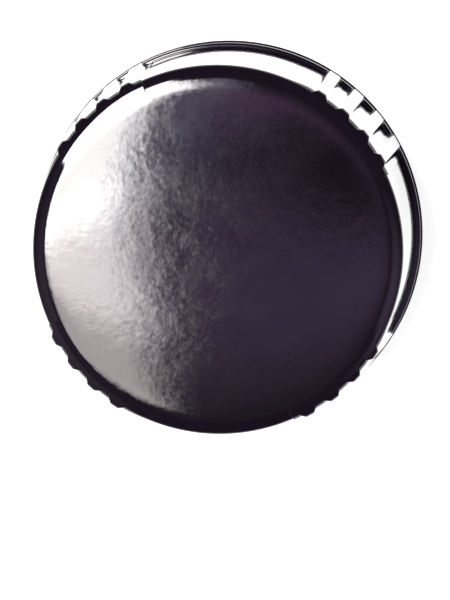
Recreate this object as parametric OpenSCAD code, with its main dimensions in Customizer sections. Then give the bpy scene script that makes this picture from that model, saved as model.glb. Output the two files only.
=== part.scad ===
// Ribbed screw cap for a bottle neck, moulded in one piece.
// It stands on its open rim. The origin is at the middle of the rim's lower face, +Z up.

/* [Neck fit] */
// Radius over the thread of the bottle neck
neck_r = 13.7; // [12:0.05:18]
// Gap all round between the neck's thread and the bore
neck_gap = 0.25; // [0.1:0.05:0.5]
// Radius of the bottle neck's mouth, which the plug seal enters
mouth_r = 10.85; // [7:0.05:12.5]
// How far the plug seal is oversize in the mouth
plug_grip = 0.1; // [0:0.05:0.2]

/* [Cap] */
// Overall height, to the crown of the top
cap_h = 14.1; // [12:0.1:20]
// Slope of the domed top at its edge, in degrees; the middle is nearly flat
dome_a = 2.5; // [1:0.1:5]
// Thickness of the top at its edge
top_t = 1.25; // [0.8:0.05:2]
// Thickness of the skirt where it meets the shoulder
wall_t = 0.95; // [0.8:0.05:2]
// Draft of the plain skirt, in degrees from upright
wall_draft = 2; // [0.5:0.1:3]

/* [Shoulder] */
// Large radius, where the shoulder leaves the top
crown_r = 1.8; // [1.2:0.1:3]
// Small radius, where the shoulder turns into the skirt
corner_r = 0.4; // [0.2:0.05:0.8]
// Slope at which the large radius hands over to the small one, in degrees
blend_a = 35; // [20:1:50]

/* [Grip pads] */
// Number of grip pads round the skirt
pads = 4; // [2:1:5]
// Ribs on each pad
pad_ribs = 4; // [2:1:5]
// Angle from one rib to the next, in degrees
rib_pitch = 9.05; // [8:0.05:10]
// How far a pad stands out from the plain skirt at the shoulder
pad_proud = 0.12; // [0.06:0.02:0.3]
// Draft of a pad between its ribs, in degrees from upright
pad_draft = 1.65; // [0.5:0.05:3]
// Radius of the tight shoulder on a pad
pad_corner_r = 0.7; // [0.4:0.05:1]
// Angle from the sharp end of a pad to its first rib, in degrees
pad_lead = 5.2; // [4:0.1:8]
// Angle from the last rib to where the pad begins to fade, in degrees
pad_tail = 3.6; // [3:0.1:6]
// Angle over which the pad fades out, in degrees
pad_fade = 4; // [2:0.5:8]

/* [Ribs] */
// Height of a rib above its pad at the shoulder
rib_h = 0.21; // [0.1:0.01:0.4]
// Draft of the ribs' crests, in degrees from upright
rib_draft = 2.35; // [1.7:0.05:3.2]
// Width of a rib's flat crest
crest_w = 0.7; // [0.3:0.05:1]
// Slope of a rib's sides, in degrees from the crest's normal
flank_a = 45; // [30:1:55]
// Draft by which each side of a rib widens towards the rim, in degrees
side_draft = 1.4; // [0.2:0.1:1.6]
// Radius at the root of a rib
root_r = 0.6; // [0.3:0.05:0.7]
// Radius of the sloping end of a rib at the shoulder
rib_top_r = 1.3; // [1.1:0.1:3]

/* [Rim] */
// Height of the bead round the rim
bead_h = 0.8; // [0.5:0.1:2]
// How far the bead stands out from the foot of the skirt
bead_proud = 0.5; // [0.35:0.05:1]
// Height of the upright land at the foot of the bead
bead_land = 0.12; // [0.05:0.01:0.3]
// Draft of the bead above its land, in degrees from upright
bead_draft = 8; // [2:0.5:15]
// Radius on the bead's upper edge
bead_r = 0.15; // [0.05:0.05:0.3]
// Chamfer round the mouth of the bore
mouth_chamfer = 0.35; // [0.1:0.05:0.6]

/* [Inside] */
// Height of the seal land, under the top
land_h = 2.1; // [1.6:0.1:4]
// How far the seal land stands in from the bore
land_in = 0.5; // [0.3:0.05:1]
// Height of the plug seal
plug_h = 1.8; // [1:0.1:2]
// Thickness of the plug seal at its root
plug_t = 0.95; // [0.7:0.05:1.5]
// Lead-in taper at the tip of the plug seal
plug_lead = 0.25; // [0.1:0.05:0.3]

/* [Hidden] */

$fn = 192;
plastic = [0.09, 0.08, 0.1];

// Length by which a cut or a buried root runs past the surface it meets
over = 0.5;
// A radius well outside the cap, for cutting shapes
clear_r = 2 * neck_r;
// Number of steps along the domed top's curve
dome_steps = 16;
// How far a rib's root radius dips under the pad, so that the two surfaces cross
root_sink = 0.06;
// Share of the root radius that is left off where it has sunk into the pad
root_trim = 0.2;
// How far the ribs' sloping ends start below the pad, so that the two rounds cross
rib_dip = 0.04;

// Radii
bore_r = neck_r + neck_gap;
land_r = bore_r - land_in;
plug_r = mouth_r + plug_grip;
skirt_r = bore_r + wall_t;
pad_r = skirt_r + pad_proud;

// Radius at which the dome runs into the shoulder, and its rise above the shoulder's highest point
corner_drop = crown_r - (crown_r - corner_r) * cos(blend_a);
dome_r = skirt_r + corner_drop * tan(wall_draft) - corner_r / cos(wall_draft)
    - (crown_r - corner_r) * sin(blend_a) + crown_r * sin(dome_a);
dome_rise = dome_r * tan(dome_a) / 4 - crown_r * (1 - cos(dome_a));

// Heights
edge_z = cap_h - dome_rise;
under_z = edge_z - top_t;
land_z = under_z - land_h;
plug_z = under_z - plug_h;

// Radius of the bead, over its land
rim_r = skirt_r + (edge_z - bead_h) * tan(wall_draft) + bead_proud;

// Centres of the plain shoulder's arcs: the small one touches the drafted skirt,
// and the large one the edge of the top
corner_c = arc_centre(skirt_r, wall_draft, corner_r, corner_drop);
crown_c = corner_c - (crown_r - corner_r) * slope_dir(blend_a);

// Centre of the pad's shoulder arc
pad_corner_c = arc_centre(pad_r, pad_draft, pad_corner_r, pad_corner_r);

// Angle from the middle of a pad to its last rib
rib_span = (pad_ribs - 1) * rib_pitch / 2;

// Root radius of a rib, limited by the rib's height
root = min(root_r, (rib_h + root_sink) / (1 - sin(flank_a)) * (1 - root_trim));

// Unit vector that leans out from the axis by the angle a
function slope_dir(a) = [sin(a), cos(a)];

// Point in plan at the radius r and the angle a
function plan(r, a) = [r * cos(a), r * sin(a)];

// Centre of an arc of radius r that touches a drafted wall, at a depth below the edge of the top
function arc_centre(wall_r, draft, r, depth) =
    [wall_r + depth * tan(draft) - r / cos(draft), edge_z - depth];

// Height of the domed top at the radius r: nearly flat in the middle, and tangent to the shoulder
function dome_z(r) = cap_h - dome_r * tan(dome_a) / 4 * pow(r / dome_r, 4);

// Part of a disc between two slopes: one rounded stretch of a section
module arc_fill(centre, r, from_a, to_a) {
    intersection() {
        translate(centre)
            circle(r);
        polygon([
            centre,
            centre + 2 * r * slope_dir(from_a),
            centre + 2 * r * slope_dir(to_a)
        ]);
    }
}

// Half section of the plain cap, solid to the axis
module skirt_section() {
    meet = corner_c + corner_r * slope_dir(blend_a);
    foot = corner_c + corner_r * slope_dir(90 - wall_draft);
    dome = [
        for (i = [0 : dome_steps])
            let (r = dome_r * (1 - i / dome_steps)) [r, dome_z(r)]
    ];
    polygon(concat(
        [[0, 0], [skirt_r + edge_z * tan(wall_draft), 0], foot, meet, crown_c],
        dome
    ));
    arc_fill(crown_c, crown_r, dome_a, blend_a);
    arc_fill(corner_c, corner_r, blend_a, 90 - wall_draft);
}

// Half section of the disc that the grip pads are cut from, solid to the axis
module pad_section() {
    foot = pad_corner_c + pad_corner_r * slope_dir(90 - pad_draft);
    polygon([
        [0, 0],
        [pad_r + edge_z * tan(pad_draft), 0],
        foot,
        [pad_corner_c[0], edge_z],
        [0, edge_z]
    ]);
    arc_fill(pad_corner_c, pad_corner_r, 0, 90 - pad_draft);
}

// One grip pad: a step at one end, and at the other a surface that sinks into the skirt
module pad() {
    step_a = -rib_span - pad_lead;
    tail_a = rib_span + pad_tail;
    fade_a = tail_a + pad_fade;
    sink = pad_proud / sin(pad_fade);
    intersection() {
        rotate_extrude()
            pad_section();
        translate(sink * [sin(tail_a), -cos(tail_a), 0])
            rotate_extrude()
                pad_section();
        linear_extrude(cap_h)
            polygon([
                [0, 0],
                plan(clear_r, step_a),
                plan(clear_r, (step_a + fade_a) / 2),
                plan(clear_r, fade_a),
                plan(skirt_r, fade_a),
                plan(crown_c[0] - over, fade_a + pad_fade)
            ]);
    }
}

// Plan of one side of a rib, with its flank and scooped root, running on past the other side:
// x runs outwards from the pad's surface, y along it
module rib_side_plan() {
    lean = [sin(flank_a), cos(flank_a)];
    root_x = root - root_sink;
    root_c = [root_x, crest_w / 2 + (root + (rib_h - root_x) * lean[0]) / lean[1]];
    meet = root_c - root * lean;
    foot_y = root_c[1] - root_trim * root;
    far_y = -pad_r * sin(rib_pitch);
    top_x = rib_h + over;
    difference() {
        polygon([
            [-pad_corner_r, far_y],
            [top_x, far_y],
            [top_x, crest_w / 2 - over * tan(flank_a)],
            meet,
            [meet[0], foot_y],
            [-pad_corner_r, foot_y]
        ]);
        translate(root_c)
            circle(root);
    }
}

// One side of a rib, leaning with its pad, from inside the bead to above the top
module rib_side() {
    foot_z = bead_h / 2;
    drop = edge_z - foot_z;
    translate([pad_r + drop * tan(pad_draft), drop * tan(side_draft), foot_z])
        rotate([side_draft, -pad_draft, 0])
            linear_extrude(cap_h)
                rib_side_plan();
}

// One rib: two mirrored sides that spread towards the rim, under a crest that leans out further
module rib() {
    intersection() {
        rib_side();
        mirror([0, 1, 0])
            rib_side();
        translate([pad_r + rib_h, 0, edge_z])
            rotate([0, -rib_draft, 0])
                translate([-clear_r / 2, -clear_r / 2, -clear_r])
                    cube([clear_r / 2, clear_r, 2 * clear_r]);
    }
}

// The round envelope that gives the ribs their sloping upper ends
module rib_ends() {
    slope_c = [pad_corner_c[0], edge_z - rib_dip - rib_top_r];
    rotate_extrude() {
        square([clear_r, slope_c[1]]);
        square([slope_c[0], edge_z - rib_dip]);
        translate(slope_c)
            circle(rib_top_r);
    }
}

// Every pad with its ribs
module grip() {
    for (i = [0 : pads - 1])
        rotate((i + 1 / 2) * 360 / pads) {
            pad();
            intersection() {
                rib_ends();
                for (j = [0 : pad_ribs - 1])
                    rotate(j * rib_pitch - rib_span)
                        rib();
            }
        }
}

// The bead that stiffens the rim: a low upright land, a drafted face and a rounded upper edge
module bead() {
    turn_z = bead_h - bead_r;
    turn_r = rim_r - (turn_z - bead_land) * tan(bead_draft) - bead_r / cos(bead_draft);
    turn_c = [turn_r, turn_z];
    rotate_extrude() {
        polygon([
            [bore_r, 0],
            [rim_r, 0],
            [rim_r, bead_land],
            turn_c + bead_r * slope_dir(90 - bead_draft),
            turn_c,
            [turn_r, bead_h],
            [bore_r, bead_h]
        ]);
        arc_fill(turn_c, bead_r, 0, 90 - bead_draft);
    }
}

// The hollow: chamfered mouth, plain bore, seal land, and the well round and inside the plug seal
module hollow() {
    rotate_extrude()
        polygon([
            [0, -over],
            [bore_r + mouth_chamfer + over, -over],
            [bore_r, mouth_chamfer],
            [bore_r, land_z],
            [land_r, land_z + land_in],
            [land_r, under_z],
            [plug_r, under_z],
            [plug_r, plug_z + plug_lead],
            [plug_r - plug_lead, plug_z],
            [plug_r - plug_t + plug_lead, plug_z],
            [plug_r - plug_t, under_z],
            [0, under_z]
        ]);
}

module cap() {
    color(plastic)
        difference() {
            union() {
                rotate_extrude()
                    skirt_section();
                grip();
                bead();
            }
            hollow();
        }
}

cap();
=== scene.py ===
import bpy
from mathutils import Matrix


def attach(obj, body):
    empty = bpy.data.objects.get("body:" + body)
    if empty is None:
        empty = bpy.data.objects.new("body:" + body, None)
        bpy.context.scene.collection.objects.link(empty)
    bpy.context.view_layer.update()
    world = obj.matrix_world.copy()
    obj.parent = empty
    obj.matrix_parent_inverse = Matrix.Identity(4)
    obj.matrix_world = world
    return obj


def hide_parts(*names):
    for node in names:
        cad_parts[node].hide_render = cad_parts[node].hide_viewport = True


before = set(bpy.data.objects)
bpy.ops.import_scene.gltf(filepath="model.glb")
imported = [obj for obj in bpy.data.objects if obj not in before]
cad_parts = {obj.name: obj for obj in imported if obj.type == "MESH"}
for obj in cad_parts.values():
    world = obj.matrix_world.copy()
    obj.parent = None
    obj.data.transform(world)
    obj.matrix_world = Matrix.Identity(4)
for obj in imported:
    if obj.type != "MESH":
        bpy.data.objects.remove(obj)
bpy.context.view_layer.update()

import math

import bpy
import numpy as np
from mathutils import Matrix, Vector

MM = 0.001

# Sizes of the cap in mm, within 0.002 mm of the CAD source's own. EDGE_Z is the height of the
# top's edge
EDGE_Z = 13.95
BORE_R = 13.95
MOUTH_CHAMFER = 0.35
UNDER_Z = EDGE_Z - 1.25
LAND_R = BORE_R - 0.5
LAND_Z = UNDER_Z - 2.1
PLUG_R = 10.95
PLUG_T = 0.95
PLUG_Z = UNDER_Z - 1.8
PLUG_LEAD = 0.25
SKIRT_R = BORE_R + 0.95
SKIRT_DRAFT = math.radians(2)
CROWN_R = 1.8
CORNER_R = 0.4
BLEND_A = math.radians(35)
PADS = 4
PAD_R = SKIRT_R + 0.12
PAD_DRAFT = math.radians(1.65)
PAD_RIBS = 4
RIB_PITCH = math.radians(9.05)
RIB_SPAN = (PAD_RIBS - 1) / 2 * RIB_PITCH
PAD_STEP_A = -RIB_SPAN - math.radians(5.2)
PAD_TAIL_A = RIB_SPAN + math.radians(3.6)
RIB_H = 0.21
RIB_DRAFT = math.radians(2.35)
RIB_SIDE_DRAFT = math.radians(1.4)
RIB_TOP_R = 1.3
CREST_W = 0.7
FLANK = math.radians(45)
BEAD_H = 0.8
BEAD_R = 0.15

# Sizes that differ a little from the CAD source's, or that it lacks. Most were tuned against the
# photo. RIM_R keeps the model inside the solid's box, and ROOT_SINK is a value that the source had
# earlier
DOME_A = math.radians(2.2)
EDGE_A = math.radians(4.5)
EDGE_RUN = 1.5
PAD_CORNER_R = 0.8
PAD_LEAN_A = math.radians(6)
PAD_FADE = math.radians(8)
ROOT_R = 0.62
ROOT_SINK = 0.02
# Beyond its foot a rib's side falls away at this slope, from this far inside the foot
ROOT_FALL = 4
ROOT_FALL_LEAD = 0.05
RIB_DIP = 0.075
RIM_R = 15.85
BEAD_DRAFT = math.radians(6)
LIP_H = 0.16
LIP_W = 0.075

# How close in mm two forms' fields come before they blend into a small fillet
STEP_BLEND = 0.04
FLANK_BLEND = 0.05
RIB_END_BLEND = 0.08
RIB_BLEND = 0.02
BEAD_BLEND = 0.05
LIP_EDGE_BLEND = 0.03
LIP_BLEND = 0.02
FOOT_BLEND = 0.04
# Scale of a rib's field, which rises up to 1.4 times as fast as distance on the rib's sides
RIB_SCALE = 0.6
# Radius of the inside's corners
INSIDE_ROUND = 0.08

# Mesh of the body. Rays that find the outer surface start inside the wall, at (r, z)
SHOULDER_START = (13.3, 12.6)
RIM_START = (14.9, 0.3)
LIP_START = (15.7, 0.05)
RAY_REACH = 3.2
RAY_HALVINGS = 26
RING_COLUMNS = 180
# Angle at which the rings over the top and through the inside start
RING_START = math.radians(1)
# Radii of the rings over the top, and of those on its underside
TOP_RINGS = [13.15, 13, 12.85, 12.7, 12.5, 12.3, 12, 11.5] + list(range(11, 0, -1))
UNDER_RINGS = [8, 5, 2]
# A radius on the rim's lower face, outside the mouth's chamfer
RIM_FACE_R = 15.3
CORNER_POINTS = 5
# The most of the shorter side beside it that a rounded corner may take
CORNER_SHARE = 0.4
# Distance in mm either way over which a normal is measured
NORMAL_STEP = 0.004

# Thread on the bore, with its lengths in mm. THREAD_END_SHARE is the share of its width that is
# left at its ends, and THREAD_CREST_BLEND is a share of its height
THREAD_PITCH = 4.23
THREAD_TURNS = 1.35
THREAD_START_Z = 2.3
THREAD_H = 1.05
THREAD_SINK = 0.03
THREAD_BURIED = 0.3
THREAD_BASE_W = 2.1
THREAD_CREST_W = 0.7
THREAD_END_SHARE = 0.35
THREAD_CREST_BLEND = 0.3
THREAD_RUN_OUT = math.radians(28)
THREAD_STEPS = 220
THREAD_PROFILE_POINTS = 13

# Relief of the top: how many features to the mm, and their heights in mm. GRAIN_SMOOTHNESS rounds
# the edges between grains, from 0 to 1, and PEBBLE_LEAN is a slope
GRAIN_PER_MM = 3.2
GRAIN_H = 0.00055
GRAIN_SMOOTHNESS = 0.5
FINE_PER_MM = 13
FINE_H = 0.0011
SWELL_PER_MM = 0.9
SWELL_H = 0.003
PEBBLE_PER_MM = 2.7
PEBBLE_LEAN = 0.009
# Depth in mm below the top's edge over which its finish gives way to that of the sides
FINISH_FADE = 0.06

# Gloss and colour, each drifting between two values in broad smudges
SMUDGE_PER_MM = 0.35
TOP_ROUGHNESS = (0.038, 0.062)
SIDE_ROUGHNESS = (0.045, 0.075)
# Levels of the smudges between which the roughness of the top and of the sides drifts
TOP_SMUDGES = (0.3, 0.7)
SIDE_SMUDGES = (0.35, 0.7)
TINTS = ((0.0065, 0.004, 0.008, 1), (0.0085, 0.0055, 0.0105, 1))
# The clear coat on the sides shows at a glance, between these two shares of facing away
COAT_GLANCE = (0.5, 0.8)
COAT_ROUGHNESS = 0.05

# The floor's grey, how brightly the camera sees it beyond its light, and its half width in m
FLOOR_GREY = (0.82, 0.82, 0.82, 1)
FLOOR_SEEN = 0.8
FLOOR_HALF = 1.5

# Lamps over the cap: centre, width and depth (mm), turn (degrees), radiance and colour
LAMPS = {
    "window": ((-241, 173, 914), 182, 405, 21.8, 26, (1.0, 0.985, 0.97)),
    "window_side": ((-196, -19, 896), 172, 161, 6, 23.8, (1.0, 0.985, 0.965)),
    "window_foot": ((-156.5, -159, 878), 127, 127, -4, 8.5, (1.0, 0.92, 0.91)),
    "window_sill": ((-176, -104, 860), 184, 58, 4, 9.2, (1.0, 0.94, 0.93)),
}
# The room's even light, and what reflections show of it: a colour under soft-edged patches,
# each with its direction (x, y), its reach in x and y, and its colour
ROOM_LIGHT = 0.25
ROOM = (0.05, 0.035, 0.09, 1)
ROOM_PATCHES = {
    "far_left": ((-0.6, -0.4), (0.5, 0.7), (0.55, 0.42, 0.62, 1)),
    "far_right": ((0.6, -0.25), (0.5, 0.45), (0.8, 0.6, 0.95, 1)),
    "ceiling": ((-0.04, -0.12), (0.26, 0.26), (0.42, 0.3, 0.52, 1)),
    "wall": ((0.0, -0.125), (0.16, 0.05), (0.75, 0.47, 0.95, 1)),
    "below": ((-0.04, -0.24), (0.16, 0.11), (0.1, 0.09, 0.1, 1)),
    "curtain": ((-0.04, -0.02), (0.09, 0.05), (0.8, 0.36, 0.85, 1)),
    "curtain_near": ((-0.063, -0.04), (0.025, 0.05), (1.4, 0.75, 1.5, 1)),
    "haze": ((-0.1, -0.055), (0.035, 0.12), (1.4, 1.3, 2.1, 1)),
    "gap": ((-0.075, 0.05), (0.028, 0.09), (2.4, 2.2, 3.2, 1)),
    "corner": ((-0.005, -0.06), (0.09, 0.045), (0.0, 0.0, 0.0, 1)),
    "corner_low": ((-0.03, -0.082), (0.07, 0.03), (0.0, 0.0, 0.0, 1)),
}

# Camera, with its places and lengths in mm, fitted to the outlines of the top and the rim
CAMERA_AT = (36.38, 55.34, 508.39)
CAMERA_AIM = (0.78, -3.92, 14.1)
CAMERA_UP = math.radians(92)
FOCAL = 373.7
SENSOR_H = 36
# Nearest and furthest distance that the camera sees, in m
CAMERA_SEES = (0.01, 10)


def arc_centre(wall_r, draft, r, depth):
    """Centre (r, z) of an arc that touches a drafted wall at a depth below the edge of the top."""
    return wall_r + depth * math.tan(draft) - r / math.cos(draft), EDGE_Z - depth


CORNER_C = arc_centre(
    SKIRT_R, SKIRT_DRAFT, CORNER_R, CROWN_R - (CROWN_R - CORNER_R) * math.cos(BLEND_A)
)
CROWN_C = (
    CORNER_C[0] - (CROWN_R - CORNER_R) * math.sin(BLEND_A),
    CORNER_C[1] - (CROWN_R - CORNER_R) * math.cos(BLEND_A),
)


def on_crown(lean_a):
    """The point (r, z) where the shoulder's large arc leans outwards at the angle."""
    return CROWN_C[0] + CROWN_R * math.sin(lean_a), CROWN_C[1] + CROWN_R * math.cos(lean_a)


DOME_EDGE = on_crown(EDGE_A)
EDGE_TURN = math.tan(EDGE_A) - math.tan(DOME_A)
# From here, where the shoulder leans at PAD_LEAN_A, a pad's section runs straight on
PAD_EDGE = on_crown(PAD_LEAN_A)
PAD_CORNER_DEPTH = (
    PAD_CORNER_R
    + (EDGE_Z - PAD_EDGE[1]) * math.cos(PAD_LEAN_A)
    + (PAD_R - PAD_CORNER_R / math.cos(PAD_DRAFT) - PAD_EDGE[0]) * math.sin(PAD_LEAN_A)
) / (math.cos(PAD_LEAN_A) - math.tan(PAD_DRAFT) * math.sin(PAD_LEAN_A))
PAD_CORNER_C = arc_centre(PAD_R, PAD_DRAFT, PAD_CORNER_R, PAD_CORNER_DEPTH)


# ---------------------------------------------------------------- form of the outside

def smooth_max(a, b, k):
    """The larger of a and b, rounded over about k where they cross."""
    h = np.maximum(k - np.abs(a - b), 0) / k
    return np.maximum(a, b) + h * h * k / 4


def smooth_min(a, b, k):
    """The smaller of a and b, rounded over about k where they cross."""
    return -smooth_max(-a, -b, k)


def smooth_step(t):
    """Eases from 0 to 1 as t does."""
    return t * t * (3 - 2 * t)


def arc_angle(r, z, centre):
    """Angle from upright, leaning outwards, of the point as seen from the centre."""
    return np.arctan2(r - centre[0], z - centre[1])


def arc_field(r, z, centre, radius):
    """Distance outside an arc in the section."""
    return np.hypot(r - centre[0], z - centre[1]) - radius


def wall_field(r, z, wall_r, draft):
    """Distance outside a drafted wall whose radius is wall_r at the height of the top's edge."""
    return (r - wall_r - (EDGE_Z - z) * math.tan(draft)) * math.cos(draft)


def edge_share(r):
    """How far the radius r is into the run that turns down to the shoulder, from 0 to 1."""
    return np.clip(1 - (DOME_EDGE[0] - r) / EDGE_RUN, 0, 1)


def crown_slope(r):
    """Downward slope of the domed top."""
    return math.tan(DOME_A) * (r / DOME_EDGE[0]) ** 3 + EDGE_TURN * edge_share(r) ** 2


def crown_z(r):
    """Height of the domed top: nearly flat in the middle, and tangent to the shoulder at its edge."""
    dome = DOME_EDGE[0] * math.tan(DOME_A) / 4 * (1 - (r / DOME_EDGE[0]) ** 4)
    edge = EDGE_TURN * EDGE_RUN / 3 * (1 - edge_share(r) ** 3)
    return DOME_EDGE[1] + dome + edge


def skirt_field(r, z):
    """Distance outside the plain cap's section, in mm."""
    crown_a = arc_angle(r, z, CROWN_C)
    corner_a = arc_angle(r, z, CORNER_C)
    in_corner = (corner_a >= BLEND_A) & (corner_a <= math.pi / 2 - SKIRT_DRAFT)
    in_crown = (crown_a >= EDGE_A) & (crown_a <= BLEND_A)
    on_top = (crown_a < EDGE_A) & (z > CROWN_C[1])
    crown = arc_field(r, z, CROWN_C, CROWN_R)
    corner = arc_field(r, z, CORNER_C, CORNER_R)
    wall = wall_field(r, z, SKIRT_R, SKIRT_DRAFT)
    return np.select([on_top, in_crown, in_corner], [z - crown_z(r), crown, corner], wall)


def pad_field(r, z):
    """Distance outside the section that the grip pads are cut from."""
    corner_a = arc_angle(r, z, PAD_CORNER_C)
    in_corner = (corner_a >= PAD_LEAN_A) & (corner_a <= math.pi / 2 - PAD_DRAFT)
    on_top = (corner_a < PAD_LEAN_A) & (z > PAD_CORNER_C[1])
    out, up = r - PAD_CORNER_C[0], z - PAD_CORNER_C[1]
    straight = up * math.cos(PAD_LEAN_A) + out * math.sin(PAD_LEAN_A) - PAD_CORNER_R
    top = np.where(r < PAD_EDGE[0], skirt_field(r, z), straight)
    corner = arc_field(r, z, PAD_CORNER_C, PAD_CORNER_R)
    wall = wall_field(r, z, PAD_R, PAD_DRAFT)
    return np.select([on_top, in_corner], [top, corner], wall)


def pad_share(a):
    """How much of the grip pad there is at the angle a: all of it, fading to none at the tail."""
    return smooth_step(np.clip((PAD_TAIL_A + PAD_FADE - a) / PAD_FADE, 0, 1))


def body_field(r, a, z):
    """Distance outside the skirt with its grip pad: a step at one end, a fade at the other."""
    plain = skirt_field(r, z)
    step = -r * np.sin(a - PAD_STEP_A)
    padded = np.minimum(plain, smooth_max(pad_field(r, z), step, STEP_BLEND))
    share = pad_share(a)
    return plain * (1 - share) + padded * share


def rib_side(y):
    """Height of a rib's side at the distance y from its middle, and how much of its root is there."""
    flank = RIB_H - (y - CREST_W / 2) / math.tan(FLANK)
    root_run = (ROOT_R + (RIB_H - ROOT_R + ROOT_SINK) * math.sin(FLANK)) / math.cos(FLANK)
    foot_y = CREST_W / 2 + root_run
    reach = ROOT_R * math.cos(FLANK)
    off = np.clip(foot_y - y, 0, reach)
    scoop = ROOT_R - ROOT_SINK - np.sqrt(ROOT_R ** 2 - off ** 2)
    root = scoop - ROOT_FALL * np.clip(y - foot_y + ROOT_FALL_LEAD, 0, None)
    return np.where(foot_y - y > reach, flank, root), 1 - off / reach


def rib_field(r, a, z):
    """Distance outside the nearest rib."""
    index = np.clip(np.round((a + RIB_SPAN) / RIB_PITCH), 0, PAD_RIBS - 1)
    off = a - (index * RIB_PITCH - RIB_SPAN)
    down = np.clip(EDGE_Z - z, 0, EDGE_Z)
    proud = wall_field(r, z, PAD_R, PAD_DRAFT)
    crest = RIB_H + down * (math.tan(RIB_DRAFT) - math.tan(PAD_DRAFT))
    side, root = rib_side(np.abs(r * np.sin(off)) - down * math.tan(RIB_SIDE_DRAFT))
    # The root follows the pad round its corner, where the pad falls away from its wall
    over_pad = proud + root * np.clip(pad_field(r, z) - proud, 0, None)
    prism = smooth_max(proud - crest, over_pad - side, FLANK_BLEND) * RIB_SCALE
    end_c = (PAD_CORNER_C[0], EDGE_Z - RIB_DIP - RIB_TOP_R)
    on_top = (r < end_c[0]) & (z > end_c[1])
    arc = arc_field(r, z, end_c, RIB_TOP_R)
    below = np.full_like(arc, -RIB_TOP_R)
    end = np.select([on_top, z > end_c[1]], [z - (EDGE_Z - RIB_DIP), arc], below)
    return smooth_max(prism, end, RIB_END_BLEND)


def bead_field(r, z):
    """Distance outside the bead: a drafted face over a thin lip at its foot."""
    out = r + z * math.tan(BEAD_DRAFT) - (RIM_R - LIP_W - BEAD_R)
    up = z - (BEAD_H - BEAD_R)
    past = np.hypot(np.maximum(out, 0), np.maximum(up, 0))
    face = past + np.minimum(np.maximum(out, up), 0) - BEAD_R
    lip = smooth_max(r - RIM_R, z - LIP_H, LIP_EDGE_BLEND)
    return smooth_min(face, lip, LIP_BLEND)


def cap_field(r, a, z):
    """Distance outside the cap's outer form, in mm; a is the angle from the middle of a pad."""
    form = smooth_min(body_field(r, a, z), rib_field(r, a, z), RIB_BLEND)
    form = smooth_min(form, bead_field(r, z), BEAD_BLEND)
    return smooth_max(form, -z, FOOT_BLEND)


# ---------------------------------------------------------------- mesh of the outside

def pad_columns():
    """Angles in degrees across one pad and the plain skirt beside it, closer where the form turns."""
    from_rib = [0, 0.6, 1] + [1.2 + 0.1 * i for i in range(13)] + [2.6, 2.9, 3.3, 3.9]
    from_step = [0.04, 0.08, 0.14, 0.25, 0.4]
    before_step = [0, 0.04, 0.08, 0.15, 0.3, 0.6]
    pitch = math.degrees(RIB_PITCH)
    step = math.degrees(PAD_STEP_A)
    angles = [step + d for d in from_step] + [step - d for d in before_step]
    for i in range(PAD_RIBS):
        middle = (i - (PAD_RIBS - 1) / 2) * pitch
        angles += [middle + side * d for d in from_rib for side in (-1, 1)]
        angles.append(middle + pitch / 2)
    tail = [18.5 + 0.4 * i for i in range(5)] + [20.5 + 0.3 * i for i in range(17)]
    plain = list(np.arange(29, 45, 1.5))
    angles += tail + [25.9, 26.6, 27.6] + plain
    angles += [-19.9, -20.6, -21.7, -23, -24.5, -26, -27.5] + [-a for a in plain]
    return np.array(sorted(set(round(a, 4) for a in angles)))


def rays():
    """Where each ray that seeks the outer surface starts, (r, z), and its angle from upright.

    They fan round the shoulder, cross the skirt, and fan round the bead, its lip and its foot.
    """
    round_shoulder = [0, 6, 11, 15, 17.5, 20, 24, 28, 32, 35, 37.5]
    round_shoulder += list(np.arange(39, 68, 1.25)) + [69, 71, 74, 79, 85]
    skirt_heights = [12.3, 10.8, 8.5, 6, 3.8]
    round_bead = [15, 19, 24, 29, 34, 37.5, 39.5, 41, 42, 43, 44.5, 47]
    round_bead += [50, 53, 56, 58.5, 61, 63.5, 66, 68.5, 71, 74, 80, 90]
    round_lip = [22, 30, 35, 38, 42, 47, 54, 60, 63, 65, 68, 75, 83]
    round_foot = [105, 106.5, 108, 110, 116, 130]
    found = [(*SHOULDER_START, math.radians(a)) for a in round_shoulder]
    found += [(SHOULDER_START[0], z, math.pi / 2) for z in skirt_heights]
    found += [(*RIM_START, math.radians(a)) for a in round_bead]
    found += [(*LIP_START, math.radians(a)) for a in round_lip]
    found += [(*RIM_START, math.radians(a)) for a in round_foot]
    return np.array(found)


def find_surface(starts, column_a):
    """Radius and height of the outer form along each ray, for each column."""
    r0 = starts[:, 0][:, None]
    z0 = starts[:, 1][:, None]
    dr = np.sin(starts[:, 2])[:, None]
    dz = np.cos(starts[:, 2])[:, None]
    a = np.broadcast_to(column_a[None, :], (len(starts), len(column_a)))
    near = np.zeros(a.shape)
    far = np.full(a.shape, RAY_REACH)
    for _ in range(RAY_HALVINGS):
        middle = (near + far) / 2
        outside = cap_field(r0 + middle * dr, a, z0 + middle * dz) > 0
        far = np.where(outside, middle, far)
        near = np.where(outside, near, middle)
    return r0 + near * dr, z0 + near * dz


def surface_normals(r, a, z):
    """Unit normals of the outer form as (outward, around, up)."""
    step = NORMAL_STEP
    out = cap_field(r + step, a, z) - cap_field(r - step, a, z)
    around = cap_field(r, a + step / r, z) - cap_field(r, a - step / r, z)
    up = cap_field(r, a, z + step) - cap_field(r, a, z - step)
    size = np.sqrt(out ** 2 + around ** 2 + up ** 2)
    return out / size, around / size, up / size


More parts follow.
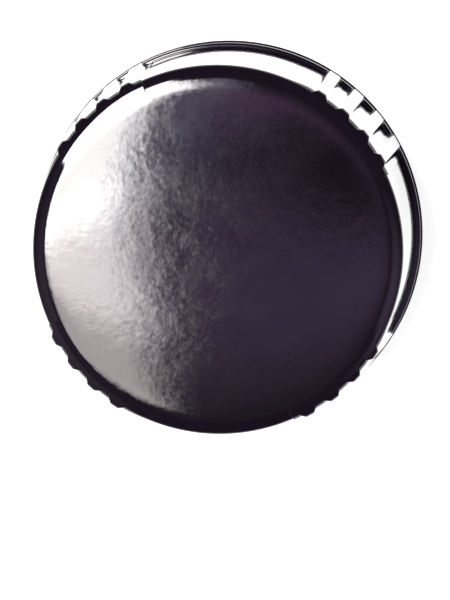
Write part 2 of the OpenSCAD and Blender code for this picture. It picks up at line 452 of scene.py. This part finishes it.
class Shell:
    """Vertices, normals and faces of a closed body, built ring by ring."""

    def __init__(self):
        self.points = []
        self.normals = []
        self.faces = []
        self.rings = []

    def ring(self, angle, r, z, normal):
        """Adds a closed ring and returns its number; normal is (outward, around, up)."""
        n = len(angle)
        r, z = np.broadcast_to(r, n), np.broadcast_to(z, n)
        out, around, up = (np.broadcast_to(c, n) for c in normal)
        c, s = np.cos(angle), np.sin(angle)
        first = sum(len(p) for p in self.points)
        self.points.append(np.stack([r * c, r * s, z], 1))
        self.normals.append(np.stack([out * c - around * s, out * s + around * c, up], 1))
        self.rings.append((first, np.asarray(angle)))
        return len(self.rings) - 1

    def join(self, i, j):
        """Faces between two rings; j comes after i on the way from the top's middle over the
        outside and on through the inside.
        """
        (a, angle_a), (b, angle_b) = self.rings[i], self.rings[j]
        if len(angle_a) == len(angle_b):
            k = np.arange(len(angle_a))
            k2 = (k + 1) % len(angle_a)
            quads = np.stack([a + k, b + k, b + k2, a + k2], 1)
            self.faces += quads.tolist()
            return
        na, nb = len(angle_a), len(angle_b)
        ia = ib = 0
        while ia < na or ib < nb:
            next_a = angle_a[ia + 1] if ia + 1 < na else angle_a[0] + 2 * math.pi
            next_b = angle_b[ib + 1] if ib + 1 < nb else angle_b[0] + 2 * math.pi
            if ib >= nb or (ia < na and next_a <= next_b):
                self.faces.append([a + ia % na, b + ib % nb, a + (ia + 1) % na])
                ia += 1
            else:
                self.faces.append([a + ia % na, b + ib % nb, b + (ib + 1) % nb])
                ib += 1

    def cap_with_point(self, i, z, up, flip):
        """Closes a ring with a fan of triangles round a point on the axis."""
        first, angle = self.rings[i]
        tip = sum(len(p) for p in self.points)
        self.points.append(np.array([[0.0, 0.0, z]]))
        self.normals.append(np.array([[0.0, 0.0, up]]))
        n = len(angle)
        for k in range(n):
            pair = [first + k, first + (k + 1) % n]
            self.faces.append([tip] + (pair[::-1] if flip else pair))


def mesh_object(name, points, faces, normals, material):
    """A smooth-shaded object from points in mm, in the scene, with the material."""
    mesh = bpy.data.meshes.new(name)
    mesh.from_pydata((points * MM).tolist(), [], faces)
    mesh.polygons.foreach_set("use_smooth", [True] * len(mesh.polygons))
    if normals is not None:
        mesh.normals_split_custom_set_from_vertices(normals.tolist())
    mesh.materials.append(material)
    piece = bpy.data.objects.new(name, mesh)
    bpy.context.scene.collection.objects.link(piece)
    return piece


def inner_section():
    """Corner points (r, z) of the inside, from the mouth's chamfer to the plug seal's inner foot."""
    return [
        (BORE_R + MOUTH_CHAMFER, 0),
        (BORE_R, MOUTH_CHAMFER),
        (BORE_R, LAND_Z),
        (LAND_R, LAND_Z + BORE_R - LAND_R),
        (LAND_R, UNDER_Z),
        (PLUG_R, UNDER_Z),
        (PLUG_R, PLUG_Z + PLUG_LEAD),
        (PLUG_R - PLUG_LEAD, PLUG_Z),
        (PLUG_R - PLUG_T + PLUG_LEAD, PLUG_Z),
        (PLUG_R - PLUG_T, UNDER_Z),
    ]


def rounded_section(corners, radius, before, after):
    """Points and normals round each corner of a section; a short side limits the radius."""
    whole = [before] + corners + [after]
    found = []
    for i in range(1, len(whole) - 1):
        here = np.array(whole[i], float)
        back = np.array(whole[i - 1], float) - here
        ahead = np.array(whole[i + 1], float) - here
        back_length, ahead_length = np.linalg.norm(back), np.linalg.norm(ahead)
        back /= back_length
        ahead /= ahead_length
        half = math.acos(np.clip(back @ ahead, -1, 1)) / 2
        longest = CORNER_SHARE * min(back_length, ahead_length)
        run = min(radius / math.tan(half), longest)
        r = run * math.tan(half)
        middle = here + (back + ahead) / np.linalg.norm(back + ahead) * r / math.sin(half)
        start, end = here + back * run, here + ahead * run
        side = np.sign(back[0] * ahead[1] - back[1] * ahead[0])
        for t in np.linspace(0, 1, CORNER_POINTS):
            d = (start - middle) * (1 - t) + (end - middle) * t
            d /= np.linalg.norm(d)
            found.append((middle + d * r, d * side))
    return found


def build_cap(material):
    """The cap's body: rows round the outside, then rings over the top and through the inside."""
    local = np.radians(pad_columns())
    column_a = np.concatenate([local] * PADS)
    first_pad, next_pad = math.radians(45), 2 * math.pi / PADS
    column_angle = np.concatenate([local + first_pad + next_pad * i for i in range(PADS)])
    starts = rays()
    r, z = find_surface(starts, column_a)
    normals = surface_normals(r, column_a[None, :], z)
    shell = Shell()
    rows = [
        shell.ring(column_angle, r[i], z[i], [n[i] for n in normals]) for i in range(len(starts))
    ]
    for i in range(len(rows) - 1):
        shell.join(rows[i], rows[i + 1])

    coarse = np.arange(RING_COLUMNS) * 2 * math.pi / RING_COLUMNS + RING_START
    before = rows[0]
    for radius in TOP_RINGS:
        tilt = math.atan(crown_slope(radius))
        ring = shell.ring(coarse, radius, crown_z(radius), (math.sin(tilt), 0, math.cos(tilt)))
        shell.join(ring, before)
        before = ring
    shell.cap_with_point(before, float(crown_z(0)), 1, False)

    before = rows[-1]
    section = rounded_section(inner_section(), INSIDE_ROUND, (RIM_FACE_R, 0), (0, UNDER_Z))
    for (radius, height), (out, up) in section:
        ring = shell.ring(coarse, radius, height, (out, 0, up))
        shell.join(before, ring)
        before = ring
    for radius in UNDER_RINGS:
        ring = shell.ring(coarse, radius, UNDER_Z, (0, 0, -1))
        shell.join(before, ring)
        before = ring
    shell.cap_with_point(before, UNDER_Z, -1, True)

    points, normals = np.concatenate(shell.points), np.concatenate(shell.normals)
    return mesh_object("cap_body", points, shell.faces, normals, material)


# ---------------------------------------------------------------- thread

def thread_profile():
    """The ridge's section: places across it, and shares of its height; its two feet are buried."""
    half_base, half_crest = THREAD_BASE_W / 2, THREAD_CREST_W / 2
    profile = [(-half_base - THREAD_BURIED, -THREAD_BURIED)]
    for t in np.linspace(0, 1, THREAD_PROFILE_POINTS):
        across = -half_base + 2 * half_base * t
        slope = (half_base - abs(across)) / (half_base - half_crest)
        height = float(smooth_min(np.array(slope), np.array(1.0), THREAD_CREST_BLEND))
        profile.append((across, height))
    profile.append((half_base + THREAD_BURIED, -THREAD_BURIED))
    return profile


def build_thread(material):
    """A closed helical ridge on the bore that narrows and sinks into the wall at both ends."""
    turn = np.linspace(0, THREAD_TURNS * 2 * math.pi, THREAD_STEPS)
    run = smooth_step(np.clip(np.minimum(turn, turn[-1] - turn) / THREAD_RUN_OUT, 0, 1))
    profile = thread_profile()
    points = []
    for a, grow in zip(turn, run):
        middle = THREAD_START_Z + THREAD_PITCH * a / (2 * math.pi)
        spread = THREAD_END_SHARE + (1 - THREAD_END_SHARE) * grow
        for across, height in profile:
            rise = (THREAD_H + THREAD_SINK) * grow - THREAD_SINK if height > 0 else 1
            r = BORE_R - height * rise
            points.append((r * math.cos(a), r * math.sin(a), middle + across * spread))
    width = len(profile)
    faces = []
    for i in range(THREAD_STEPS - 1):
        for j in range(width):
            here, beside = i * width + j, i * width + (j + 1) % width
            faces.append([here, here + width, beside + width, beside])
    faces.append(list(range(width)))
    faces.append(list(range(len(points) - 1, len(points) - 1 - width, -1)))
    return mesh_object("neck_thread", np.array(points), faces, None, material)


# ---------------------------------------------------------------- materials

def new_material(name):
    """An empty node material, with its nodes and links."""
    material = bpy.data.materials.new(name)
    material.use_nodes = True
    material.node_tree.nodes.clear()
    return material, material.node_tree.nodes, material.node_tree.links


def map_range(nodes, links, value, low, high, to_low, to_high):
    """Eases a value from one range to another."""
    node = nodes.new("ShaderNodeMapRange")
    node.interpolation_type = "SMOOTHSTEP"
    sockets = ("From Min", "From Max", "To Min", "To Max")
    for socket, number in zip(sockets, (low, high, to_low, to_high)):
        node.inputs[socket].default_value = number
    links.new(value, node.inputs["Value"])
    return node.outputs["Result"]


def noise(nodes, links, coords, per_mm, detail, output="Fac"):
    """Soft noise with so many features to the mm."""
    node = nodes.new("ShaderNodeTexNoise")
    node.inputs["Scale"].default_value = per_mm
    node.inputs["Detail"].default_value = detail
    links.new(coords, node.inputs["Vector"])
    return node.outputs[output]


def rounded_cells(nodes, links, coords):
    """Distance from the middle of the nearest grain, with the edges between grains rounded."""
    node = nodes.new("ShaderNodeTexVoronoi")
    node.feature = "SMOOTH_F1"
    node.inputs["Scale"].default_value = GRAIN_PER_MM
    node.inputs["Smoothness"].default_value = GRAIN_SMOOTHNESS
    links.new(coords, node.inputs["Vector"])
    return node.outputs["Distance"]


def math_node(nodes, links, operation, a, b):
    """A math node of the kind named, on two values, each a number or another node's output."""
    node = nodes.new("ShaderNodeMath")
    node.operation = operation
    for socket, value in zip(node.inputs, (a, b)):
        if isinstance(value, (int, float)):
            socket.default_value = value
        else:
            links.new(value, socket)
    return node.outputs[0]


def vector_node(nodes, links, operation, a, b):
    """A vector math node of the kind named; b is None where it takes one vector."""
    node = nodes.new("ShaderNodeVectorMath")
    node.operation = operation
    for socket, value in zip(node.inputs, (a, b)):
        if isinstance(value, tuple):
            socket.default_value = value
        elif value is not None:
            links.new(value, socket)
    return node.outputs[0]


def bump(nodes, links, height, distance_mm, normal=None):
    """The normal, turned by a relief whose full height is the distance."""
    node = nodes.new("ShaderNodeBump")
    node.inputs["Distance"].default_value = distance_mm * MM
    links.new(height, node.inputs["Height"])
    if normal is not None:
        links.new(normal, node.inputs["Normal"])
    return node.outputs["Normal"]


def lean(nodes, links, normal, coords, share):
    """The normal, tipped one way and another from pebble to pebble."""
    pebbles = noise(nodes, links, coords, PEBBLE_PER_MM, 1, "Color")
    centred = vector_node(nodes, links, "SUBTRACT", pebbles, (0.5, 0.5, 0.5))
    tipped = vector_node(nodes, links, "SCALE", centred, None)
    links.new(math_node(nodes, links, "MULTIPLY", share, PEBBLE_LEAN), tipped.node.inputs["Scale"])
    both = vector_node(nodes, links, "ADD", normal, tipped)
    return vector_node(nodes, links, "NORMALIZE", both, None)


def cap_plastic():
    """Near-black plastic: polished on the sides, finely grained on the top."""
    material, nodes, links = new_material("cap_plastic")
    place = nodes.new("ShaderNodeTexCoord")
    scale = nodes.new("ShaderNodeMapping")
    scale.inputs["Scale"].default_value = (1 / MM, 1 / MM, 1 / MM)
    links.new(place.outputs["Object"], scale.inputs["Vector"])
    coords = scale.outputs["Vector"]
    split = nodes.new("ShaderNodeSeparateXYZ")
    links.new(coords, split.inputs[0])
    on_top = map_range(nodes, links, split.outputs["Z"], EDGE_Z - FINISH_FADE, EDGE_Z, 0, 1)

    grain = rounded_cells(nodes, links, coords)
    fine = noise(nodes, links, coords, FINE_PER_MM, 1)
    swell = noise(nodes, links, coords, SWELL_PER_MM, 1)
    normal = None
    for relief, height in ((grain, GRAIN_H), (fine, FINE_H), (swell, SWELL_H)):
        on_top_only = math_node(nodes, links, "MULTIPLY", relief, on_top)
        normal = bump(nodes, links, on_top_only, height, normal)
    normal = lean(nodes, links, normal, coords, on_top)

    smudge = noise(nodes, links, coords, SMUDGE_PER_MM, 3)
    polish = map_range(nodes, links, smudge, *SIDE_SMUDGES, *SIDE_ROUGHNESS)
    matt = map_range(nodes, links, smudge, *TOP_SMUDGES, *TOP_ROUGHNESS)
    roughness = nodes.new("ShaderNodeMix")
    links.new(on_top, roughness.inputs["Factor"])
    links.new(polish, roughness.inputs[2])
    links.new(matt, roughness.inputs[3])

    tint = nodes.new("ShaderNodeMix")
    tint.data_type = "RGBA"
    tint.inputs[6].default_value, tint.inputs[7].default_value = TINTS
    links.new(smudge, tint.inputs["Factor"])

    shader = nodes.new("ShaderNodeBsdfPrincipled")
    links.new(tint.outputs[2], shader.inputs["Base Color"])
    links.new(roughness.outputs[0], shader.inputs["Roughness"])
    links.new(normal, shader.inputs["Normal"])
    view = nodes.new("ShaderNodeLayerWeight")
    glance = map_range(nodes, links, view.outputs["Facing"], *COAT_GLANCE, 0, 1)
    polished = map_range(nodes, links, on_top, 0, 1, 1, 0)
    coat = math_node(nodes, links, "MULTIPLY", polished, glance)
    links.new(coat, shader.inputs["Coat Weight"])
    shader.inputs["Coat Roughness"].default_value = COAT_ROUGHNESS
    out = nodes.new("ShaderNodeOutputMaterial")
    links.new(shader.outputs["BSDF"], out.inputs["Surface"])
    return material


def floor_material():
    """Pale paper that glows white to the camera and in mirror reflections, and keeps its shadow."""
    material, nodes, links = new_material("floor_paper")
    diffuse = nodes.new("ShaderNodeBsdfDiffuse")
    diffuse.inputs["Color"].default_value = FLOOR_GREY
    path = nodes.new("ShaderNodeLightPath")
    seen = nodes.new("ShaderNodeMath")
    seen.operation = "MULTIPLY_ADD"
    links.new(path.outputs["Is Camera Ray"], seen.inputs[0])
    seen.inputs[1].default_value = FLOOR_SEEN
    links.new(path.outputs["Is Glossy Ray"], seen.inputs[2])
    glow = nodes.new("ShaderNodeEmission")
    links.new(seen.outputs[0], glow.inputs["Strength"])
    both = nodes.new("ShaderNodeAddShader")
    links.new(diffuse.outputs["BSDF"], both.inputs[0])
    links.new(glow.outputs["Emission"], both.inputs[1])
    out = nodes.new("ShaderNodeOutputMaterial")
    links.new(both.outputs["Shader"], out.inputs["Surface"])
    return material


# ---------------------------------------------------------------- stage, light and camera

def build_floor():
    """A square of paper under the rim."""
    half = FLOOR_HALF
    corners = [(-half, -half, 0), (half, -half, 0), (half, half, 0), (-half, half, 0)]
    mesh = bpy.data.meshes.new("floor")
    mesh.from_pydata(corners, [], [(0, 1, 2, 3)])
    mesh.materials.append(floor_material())
    floor = bpy.data.objects.new("floor", mesh)
    bpy.context.scene.collection.objects.link(floor)


def look_at(thing, at, aim, up):
    """Places a camera or lamp at a point, in mm, facing another, with the given upward direction."""
    back = (Vector(at) - Vector(aim)).normalized()
    side = Vector(up).cross(back).normalized()
    true_up = back.cross(side)
    turn = Matrix((side, true_up, back)).transposed().to_4x4()
    thing.matrix_world = Matrix.Translation(Vector(at) * MM) @ turn


def area_light(name, at, width, depth, turn, radiance, colour):
    """A rectangular lamp facing straight down, turned about the vertical."""
    lamp = bpy.data.lights.new(name, "AREA")
    lamp.color = colour
    lamp.shape = "RECTANGLE"
    lamp.size = width * MM
    lamp.size_y = depth * MM
    lamp.energy = radiance * math.pi * lamp.size * lamp.size_y
    thing = bpy.data.objects.new(name, lamp)
    bpy.context.scene.collection.objects.link(thing)
    a = math.radians(turn)
    look_at(thing, at, (at[0], at[1], 0), (-math.sin(a), math.cos(a), 0))


def patch_share(nodes, links, direction, place, reach):
    """How much of a soft-edged patch of the room a direction meets, from 0 to 1."""
    offset = nodes.new("ShaderNodeVectorMath")
    offset.operation = "MULTIPLY_ADD"
    offset.inputs[1].default_value = (1 / reach[0], 1 / reach[1], 0)
    offset.inputs[2].default_value = (-place[0] / reach[0], -place[1] / reach[1], 0)
    links.new(direction, offset.inputs[0])
    away = nodes.new("ShaderNodeVectorMath")
    away.operation = "LENGTH"
    links.new(offset.outputs[0], away.inputs[0])
    return map_range(nodes, links, away.outputs["Value"], 0, 1, 1, 0)


def room_colour(nodes, links):
    """The room as reflections show it: its patches laid one over another."""
    direction = nodes.new("ShaderNodeTexCoord").outputs["Generated"]
    colour = None
    for place, reach, tone in ROOM_PATCHES.values():
        blend = nodes.new("ShaderNodeMix")
        blend.data_type = "RGBA"
        blend.inputs[6].default_value = ROOM
        if colour is not None:
            links.new(colour, blend.inputs[6])
        blend.inputs[7].default_value = tone
        links.new(patch_share(nodes, links, direction, place, reach), blend.inputs["Factor"])
        colour = blend.outputs[2]
    return colour


def build_lights():
    """The lamps, and an even white room that only reflections see as the patches."""
    for name, values in LAMPS.items():
        area_light(name, *values)
    world = bpy.data.worlds.new("room")
    bpy.context.scene.world = world
    world.use_nodes = True
    nodes, links = world.node_tree.nodes, world.node_tree.links
    even = nodes["Background"]
    even.inputs["Color"].default_value = (1, 1, 1, 1)
    even.inputs["Strength"].default_value = ROOM_LIGHT
    reflected = nodes.new("ShaderNodeBackground")
    links.new(room_colour(nodes, links), reflected.inputs["Color"])
    path = nodes.new("ShaderNodeLightPath")
    mix = nodes.new("ShaderNodeMixShader")
    links.new(path.outputs["Is Glossy Ray"], mix.inputs["Fac"])
    links.new(even.outputs[0], mix.inputs[1])
    links.new(reflected.outputs[0], mix.inputs[2])
    links.new(mix.outputs[0], nodes["World Output"].inputs["Surface"])


def build_camera():
    """The camera, placed so that the top and the rim fall as they do in the photo."""
    camera = bpy.data.cameras.new("camera")
    camera.sensor_fit = "VERTICAL"
    camera.sensor_height = SENSOR_H
    camera.lens = FOCAL
    camera.clip_start, camera.clip_end = CAMERA_SEES
    thing = bpy.data.objects.new("camera", camera)
    bpy.context.scene.collection.objects.link(thing)
    look_at(thing, CAMERA_AT, CAMERA_AIM, (math.cos(CAMERA_UP), math.sin(CAMERA_UP), 0))
    bpy.context.scene.camera = thing


build_camera()
plastic = cap_plastic()
body = build_cap(plastic)
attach(body, "root")
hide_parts("cap")
thread = build_thread(plastic)
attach(thread, "root")
build_floor()
build_lights()
bpy.context.scene.view_settings.view_transform = "Standard"

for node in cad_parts.values():
    node.data.materials.clear()
    node.data.materials.append(plastic)
